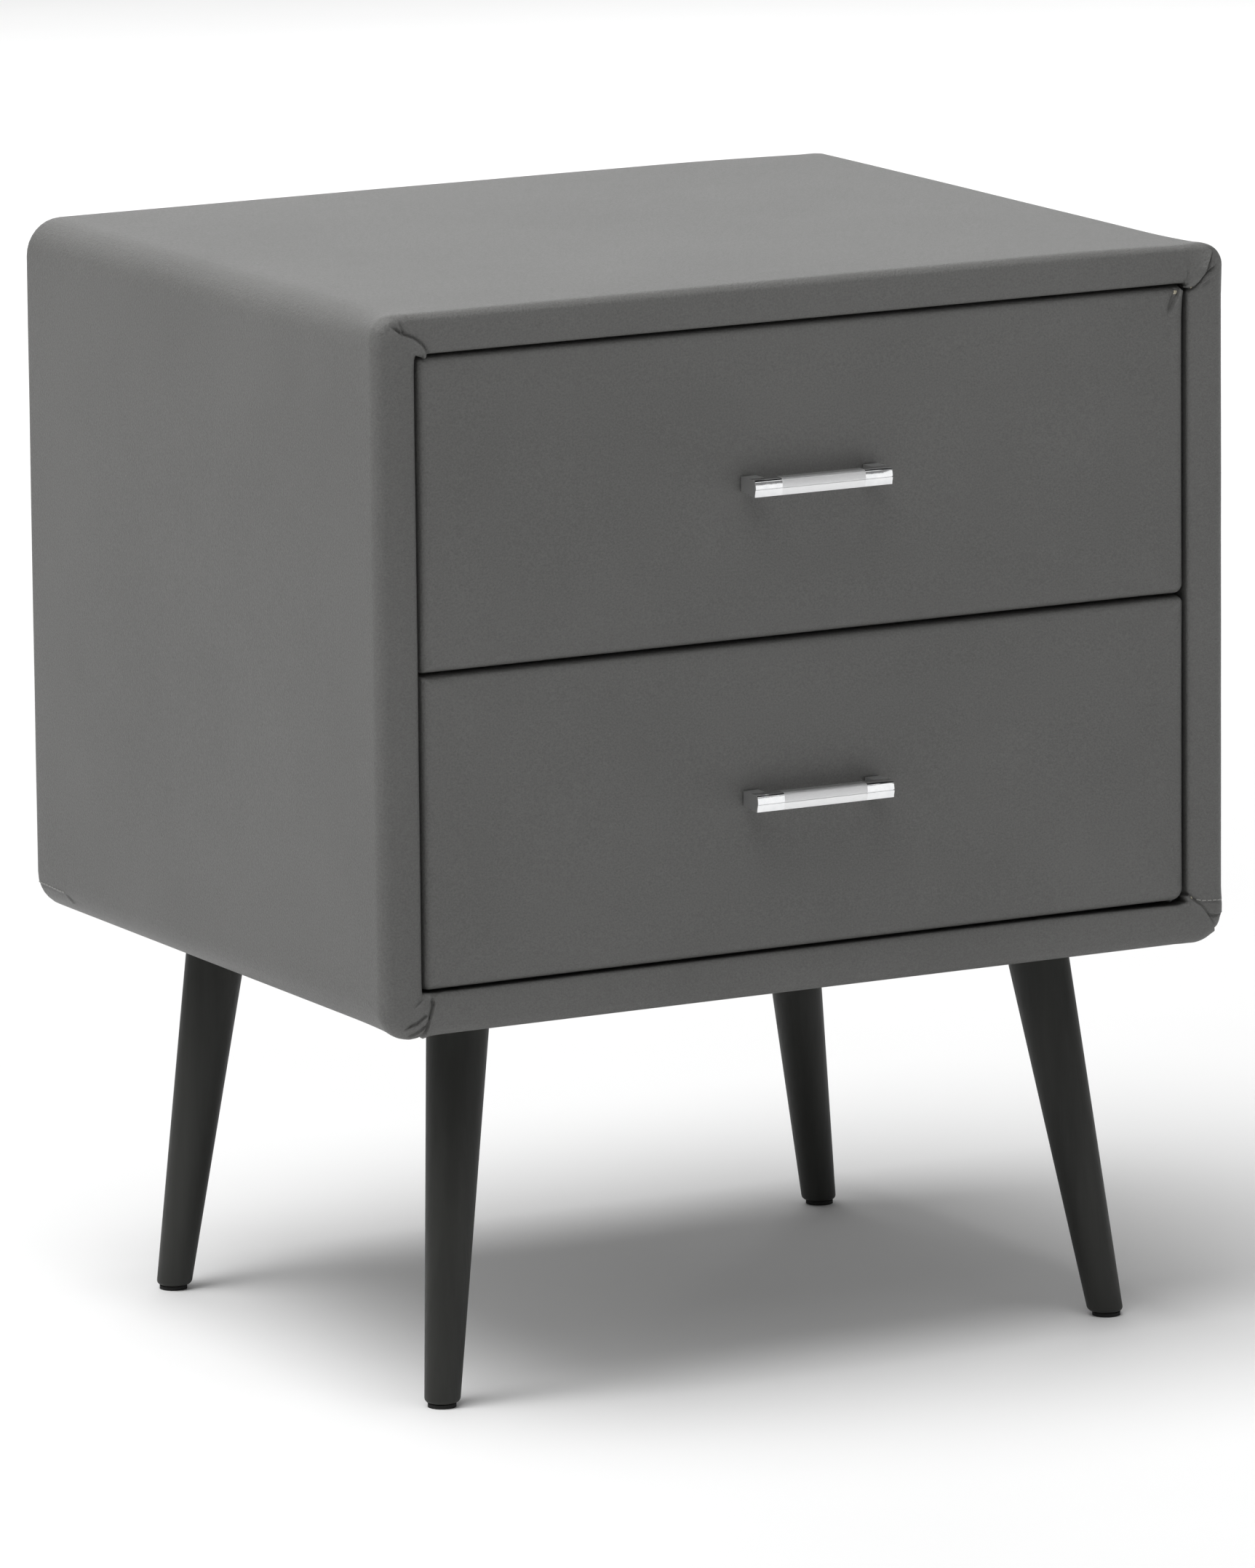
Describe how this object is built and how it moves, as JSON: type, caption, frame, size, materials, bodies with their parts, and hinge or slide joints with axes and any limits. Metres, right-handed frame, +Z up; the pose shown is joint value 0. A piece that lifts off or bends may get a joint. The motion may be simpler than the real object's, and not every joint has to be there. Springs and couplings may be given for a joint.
{
  "type": "nightstand with drawers",
  "caption": "Nightstand with stacked drawers: a box case wrapped in padded grey leather, chrome bar pulls, ball-bearing slides and splayed round tapered legs.",
  "frame": {"origin": "on the floor, under the middle of the whole box of the part, handles included", "axes": "+Z up, the drawers face and open towards -Y, +X to the right of a person facing the back wall"},
  "size_m": [0.5, 0.4254, 0.577],
  "materials": {
    "leather": "smooth fine-grain leather over foam, satin, neutral grey",
    "foam": "thin sheet foam, hidden under the leather",
    "carcass_board": "wood-fibre board with a dark paper face",
    "drawer_board": "wood-fibre board with a grey paper face",
    "hardboard": "thin hardboard, dark",
    "leg_wood": "turned wood, black satin lacquer",
    "chrome": "polished chrome ends, satin middle",
    "zinc_steel": "bright zinc-plated steel",
    "felt": "black felt"
  },
  "bodies": {
    "carcass": {"cover_leather": "leather", "foam_top": "foam", "foam_bottom": "foam", "foam_left": "foam", "foam_right": "foam", "board_top": "carcass_board", "board_bottom": "carcass_board", "board_left": "carcass_board", "board_right": "carcass_board", "back_panel": "hardboard", "leg_front_left": "leg_wood", "leg_bolt_front_left": "zinc_steel", "leg_plate_front_left": "zinc_steel", "leg_glide_front_left": "felt", "leg_front_right": "leg_wood", "leg_bolt_front_right": "zinc_steel", "leg_plate_front_right": "zinc_steel", "leg_glide_front_right": "felt", "leg_back_left": "leg_wood", "leg_bolt_back_left": "zinc_steel", "leg_plate_back_left": "zinc_steel", "leg_glide_back_left": "felt", "leg_back_right": "leg_wood", "leg_bolt_back_right": "zinc_steel", "leg_plate_back_right": "zinc_steel", "leg_glide_back_right": "felt", "lower_slide_cabinet_left": "zinc_steel", "lower_slide_cabinet_right": "zinc_steel", "upper_slide_cabinet_left": "zinc_steel", "upper_slide_cabinet_right": "zinc_steel"},
    "lower_drawer": {"lower_front_leather": "leather", "lower_front_foam": "foam", "lower_front_board": "drawer_board", "lower_box_left": "drawer_board", "lower_box_right": "drawer_board", "lower_box_bottom": "drawer_board", "lower_box_back": "drawer_board", "lower_handle": "chrome", "lower_handle_screw_left": "zinc_steel", "lower_handle_screw_right": "zinc_steel", "lower_slide_drawer_left": "zinc_steel", "lower_slide_drawer_right": "zinc_steel"},
    "lower_runners": {"lower_slide_middle_left": "zinc_steel", "lower_slide_middle_right": "zinc_steel"},
    "upper_drawer": {"upper_front_leather": "leather", "upper_front_foam": "foam", "upper_front_board": "drawer_board", "upper_box_left": "drawer_board", "upper_box_right": "drawer_board", "upper_box_bottom": "drawer_board", "upper_box_back": "drawer_board", "upper_handle": "chrome", "upper_handle_screw_left": "zinc_steel", "upper_handle_screw_right": "zinc_steel", "upper_slide_drawer_left": "zinc_steel", "upper_slide_drawer_right": "zinc_steel"},
    "upper_runners": {"upper_slide_middle_left": "zinc_steel", "upper_slide_middle_right": "zinc_steel"}
  },
  "joints": [
    {"name": "lower_drawer_slide", "type": "slide", "parent": "carcass", "child": "lower_drawer", "axis": [0, -1, 0], "range_m": [0, 0.3]},
    {"name": "lower_runners_slide", "type": "slide", "parent": "carcass", "child": "lower_runners", "axis": [0, -1, 0], "range_m": [0, 0.15]},
    {"name": "upper_drawer_slide", "type": "slide", "parent": "carcass", "child": "upper_drawer", "axis": [0, -1, 0], "range_m": [0, 0.3]},
    {"name": "upper_runners_slide", "type": "slide", "parent": "carcass", "child": "upper_runners", "axis": [0, -1, 0], "range_m": [0, 0.15]}
  ],
  "couplings": [
    {"joint": "lower_runners_slide", "follows": "lower_drawer_slide", "ratio": 0.5},
    {"joint": "upper_runners_slide", "follows": "upper_drawer_slide", "ratio": 0.5}
  ]
}
